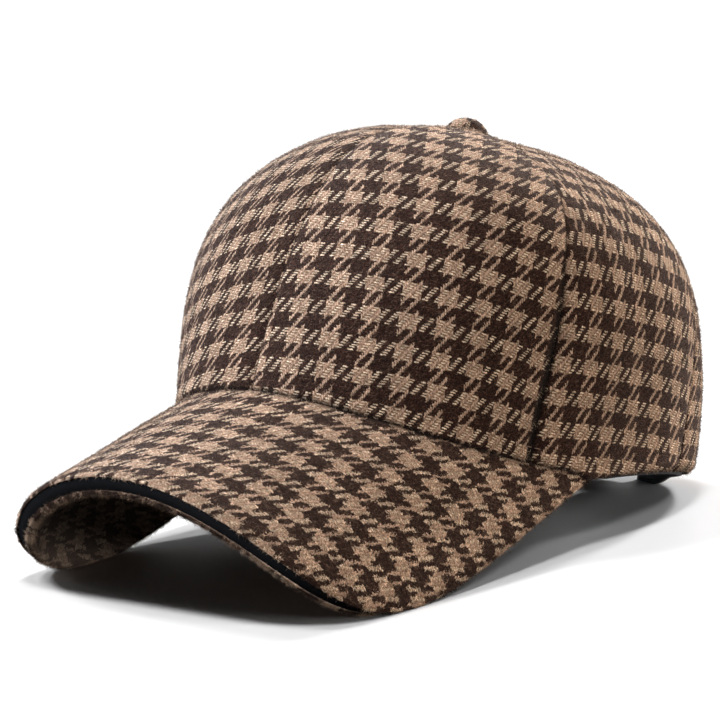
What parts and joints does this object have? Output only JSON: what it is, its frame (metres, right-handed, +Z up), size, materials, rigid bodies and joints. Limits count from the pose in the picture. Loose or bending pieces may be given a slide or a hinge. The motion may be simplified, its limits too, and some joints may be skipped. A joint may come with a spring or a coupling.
{
  "type": "six-panel baseball cap",
  "caption": "Soft six-panel baseball cap in brown and beige houndstooth with a covered top button, a strongly curved peak edged in black tape and a rear strap.",
  "frame": {"origin": "middle of the cap's box at the level of the surface it rests on", "axes": "+Z up, -Y the way the peak points, +X the wearer's left"},
  "size_m": [0.1776, 0.25, 0.1456],
  "materials": {
    "houndstooth_cloth": "brushed wool twill in a brown and beige houndstooth check, matt and slightly hairy",
    "black_tape": "plain black woven tape, slight satin",
    "black_band": "plain black twill sweatband, matt",
    "black_webbing": "plain black webbing, matt",
    "black_plastic": "plain black plastic, satin"
  },
  "bodies": {
    "root": {"crown_front_left": "houndstooth_cloth", "crown_front_right": "houndstooth_cloth", "crown_side_left": "houndstooth_cloth", "crown_side_right": "houndstooth_cloth", "crown_back_left": "houndstooth_cloth", "crown_back_right": "houndstooth_cloth", "top_button": "houndstooth_cloth", "peak_upper": "houndstooth_cloth", "peak_under": "houndstooth_cloth", "peak_edge_tape": "black_tape", "sweatband": "black_band", "back_strap": "black_webbing", "strap_slider": "black_plastic"}
  },
  "joints": []
}
